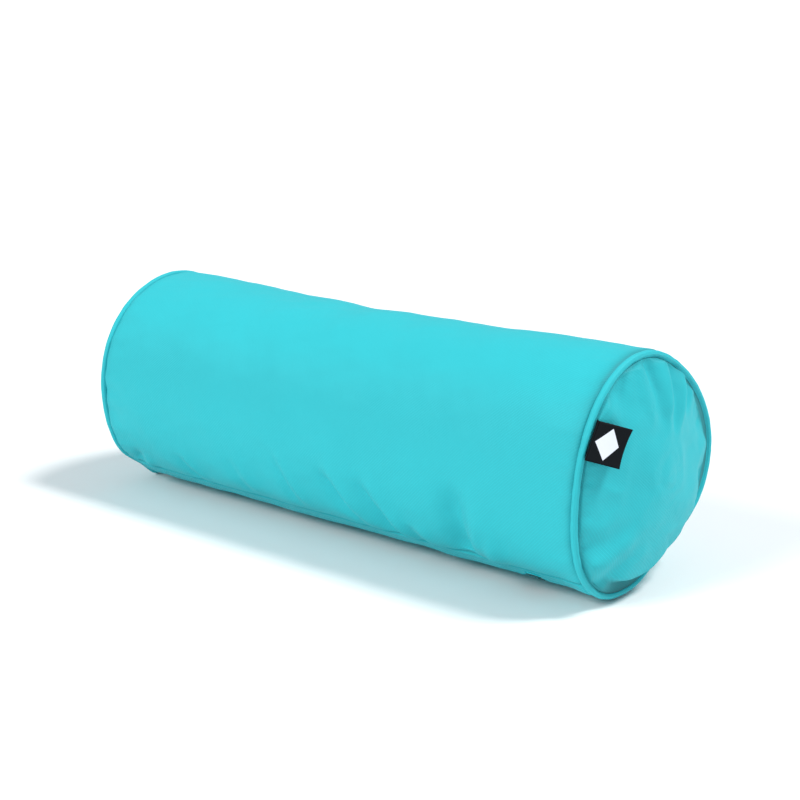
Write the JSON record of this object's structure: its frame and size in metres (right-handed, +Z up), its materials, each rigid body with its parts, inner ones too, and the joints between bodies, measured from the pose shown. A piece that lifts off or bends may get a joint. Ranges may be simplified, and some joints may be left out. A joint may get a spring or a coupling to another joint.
{
  "type": "bolster pillow",
  "caption": "Round bolster pillow with a piped, zipped outdoor-cloth cover over a lined, fibre-filled pad, flattened slightly where it rests.",
  "frame": {"origin": "on the floor, below the middle of the bolster", "axes": "+X along the bolster towards the end with the side label and the closed zip slider, -Y the front, +Z up"},
  "size_m": [0.6379, 0.222, 0.218],
  "materials": {
    "canvas": "woven, satin",
    "cord": "braided, matte",
    "thread": "twisted, satin",
    "label": "woven, satin",
    "care_label": "satin",
    "zip_tape": "woven, matte",
    "zip_nylon": "satin",
    "zip_enamel": "satin black",
    "liner": "woven, matte",
    "fibre": "fluffy, matte"
  },
  "bodies": {
    "cushion": {"barrel_panel": "canvas", "zip_placket": "canvas", "end_panel_left": "canvas", "end_panel_right": "canvas", "piping_cover_left": "canvas", "piping_cover_right": "canvas", "piping_cord_left": "cord", "piping_cord_right": "cord", "seam_thread_left": "thread", "seam_thread_right": "thread", "zip_thread_upper": "thread", "zip_thread_lower": "thread", "placket_seam_thread": "thread", "side_label_root": "label", "care_label": "care_label", "zip_tape_upper": "zip_tape", "zip_tape_lower": "zip_tape", "zip_coil_upper": "zip_nylon", "zip_coil_lower": "zip_nylon", "zip_top_stop_upper": "zip_nylon", "zip_top_stop_lower": "zip_nylon", "zip_bottom_stop": "zip_nylon", "liner_barrel": "liner", "liner_end_left": "liner", "liner_end_right": "liner", "fibre_filling": "fibre"},
    "slider": {"zip_slider": "zip_enamel"},
    "pull_tab": {"zip_pull_tab": "zip_enamel"},
    "label_flap": {"side_label_flap": "label"}
  },
  "joints": [
    {"name": "zip_slide", "type": "slide", "parent": "cushion", "child": "slider", "axis": [-1, 0, 0], "range_m": [0, 0.468]},
    {"name": "tab_swing", "type": "hinge", "parent": "slider", "child": "pull_tab", "pos_m": [0.2319, -0.05437, 0.01282], "axis": [0, -0.866, 0.5], "range_deg": [0, 115]},
    {"name": "label_lift", "type": "hinge", "parent": "cushion", "child": "label_flap", "pos_m": [0.30785, -0.09114, 0.16395], "axis": [0, -0.5299, -0.848], "range_deg": [0, 70], "stiffness_Nm_per_rad": 0.002}
  ]
}
